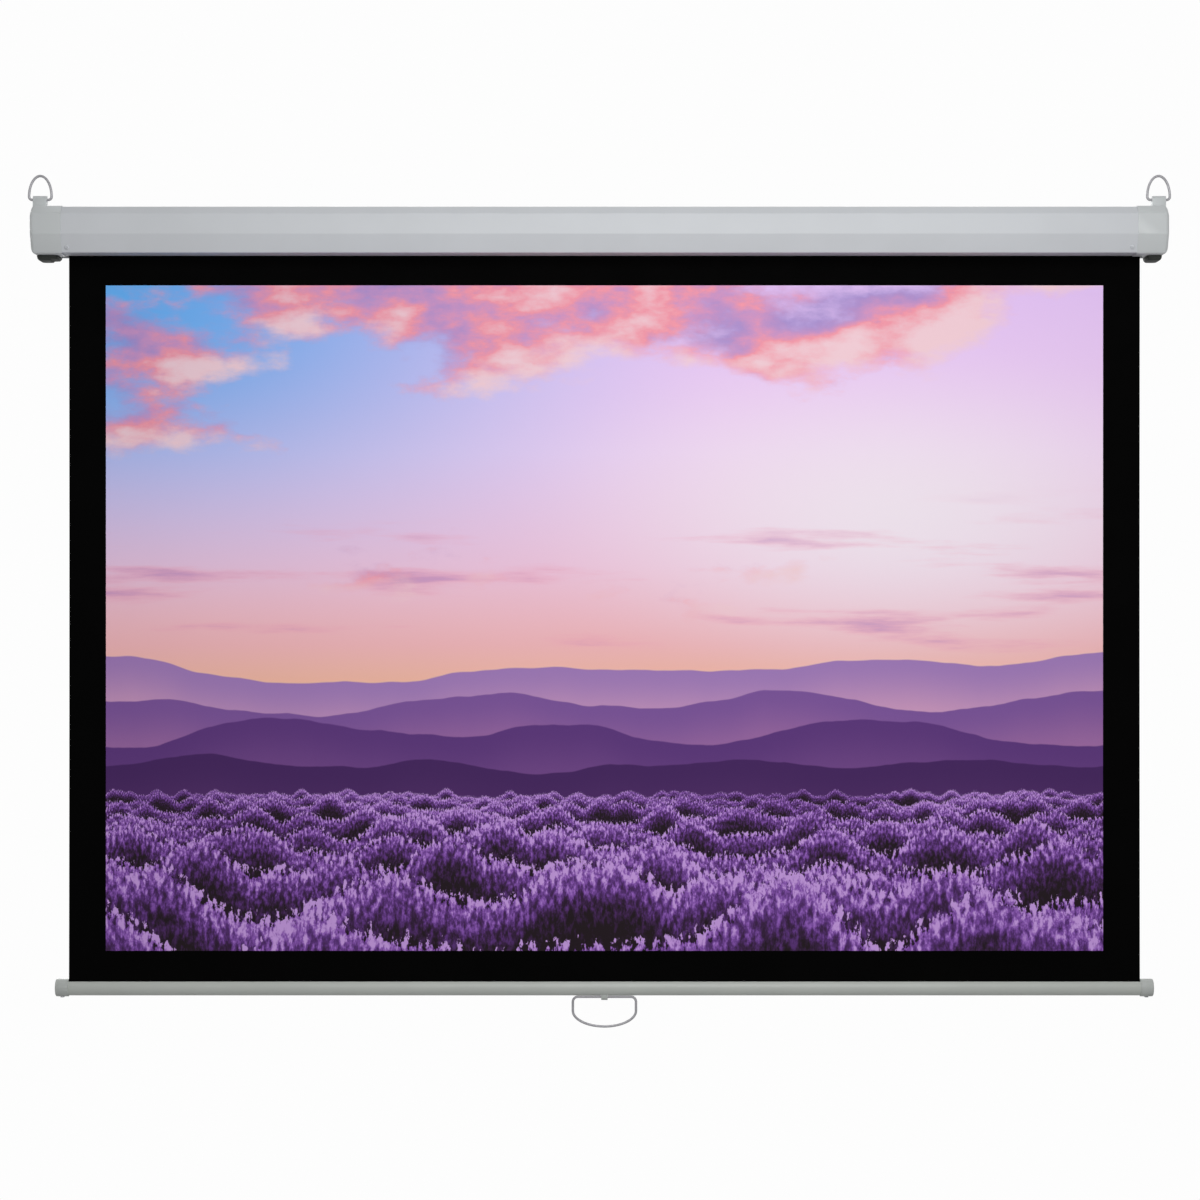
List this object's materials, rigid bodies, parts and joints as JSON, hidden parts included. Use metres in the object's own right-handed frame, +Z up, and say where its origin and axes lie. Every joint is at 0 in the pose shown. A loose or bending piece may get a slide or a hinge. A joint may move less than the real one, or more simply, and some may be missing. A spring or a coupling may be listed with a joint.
{
  "type": "pull-down projection screen",
  "caption": "Spring-roller projection screen in a slim hanging case, with a black-bordered white cloth, a weighted bottom bar and a wire pull handle, drawn fully down.",
  "frame": {"origin": "midway between the two hanging rings, at the underside of the crown of their wire, where the hooks bear", "axes": "+X along the case to the viewer's right, +Y away from the viewer towards the wall, +Z up"},
  "size_m": [1.595, 0.0726, 1.193],
  "materials": {
    "case_paint": "satin light grey powder coat",
    "cap_plastic": "fine satin moulding",
    "bar_paint": "satin silver grey paint",
    "zinc_wire": "bright zinc plate",
    "steel": "zinc plate",
    "aluminium": "mill finish",
    "dark_plastic": "moulded",
    "black_rubber": "matt",
    "white_vinyl": "matt white coated cloth",
    "black_vinyl": "matt black coating"
  },
  "bodies": {
    "casing": {"case_shell": "case_paint", "left_end_cap": "cap_plastic", "right_end_cap": "cap_plastic", "left_bumper": "black_rubber", "right_bumper": "black_rubber", "left_bracket": "steel", "right_bracket": "steel", "left_bracket_screw_upper": "steel", "left_bracket_screw_lower": "steel", "right_bracket_screw_upper": "steel", "right_bracket_screw_lower": "steel", "left_case_screw_front": "case_paint", "left_case_screw_back": "case_paint", "right_case_screw_front": "case_paint", "right_case_screw_back": "case_paint", "tang_shaft": "steel", "roller_spring": "steel", "black_border": "black_vinyl", "white_screen": "white_vinyl", "black_backing": "black_vinyl"},
    "roller": {"roller_tube": "aluminium", "ratchet_head": "dark_plastic", "roller_plug": "dark_plastic", "idle_pin": "steel", "spring_anchor": "dark_plastic", "roller_spline": "dark_plastic", "wound_cloth": "black_vinyl", "upper_pawl_pin": "steel", "lower_pawl_pin": "steel"},
    "upper_pawl": {"upper_pawl": "steel"},
    "lower_pawl": {"lower_pawl": "steel"},
    "bottom_bar": {"bottom_bar": "bar_paint", "bar_spline": "dark_plastic", "left_bar_plug": "cap_plastic", "right_bar_plug": "cap_plastic", "left_plug_screw": "steel", "right_plug_screw": "steel", "handle_clip": "cap_plastic"},
    "pull_handle": {"pull_handle": "zinc_wire"},
    "left_ring": {"left_hanging_ring": "zinc_wire"},
    "right_ring": {"right_hanging_ring": "zinc_wire"}
  },
  "joints": [
    {"name": "screen_drop", "type": "slide", "parent": "casing", "child": "bottom_bar", "axis": [0, 0, 1], "range_m": [0, 1.0033], "deforming": ["black_border", "white_screen", "black_backing"]},
    {"name": "roller_spin", "type": "hinge", "parent": "casing", "child": "roller", "pos_m": [0, -0.005, -0.0767], "axis": [1, 0, 0], "range_deg": [0, 2520]},
    {"name": "upper_pawl_swing", "type": "hinge", "parent": "roller", "child": "upper_pawl", "pos_m": [-0.7736, 0.0045, -0.0707], "axis": [1, 0, 0], "range_deg": [-10, 10]},
    {"name": "lower_pawl_swing", "type": "hinge", "parent": "roller", "child": "lower_pawl", "pos_m": [-0.7736, -0.0145, -0.0827], "axis": [1, 0, 0], "range_deg": [-10, 10]},
    {"name": "handle_swing", "type": "hinge", "parent": "bottom_bar", "child": "pull_handle", "pos_m": [0.007, 0.01835, -1.14615], "axis": [1, 0, 0], "range_deg": [-90, 90]},
    {"name": "left_ring_swing", "type": "hinge", "parent": "casing", "child": "left_ring", "pos_m": [-0.78, 0, -0.0315], "axis": [1, 0, 0], "range_deg": [-90, 90]},
    {"name": "right_ring_swing", "type": "hinge", "parent": "casing", "child": "right_ring", "pos_m": [0.78, 0, -0.0315], "axis": [1, 0, 0], "range_deg": [-90, 90]}
  ],
  "couplings": [
    {"joint": "roller_spin", "follows": "screen_drop", "rad_per_m": 43.837}
  ]
}
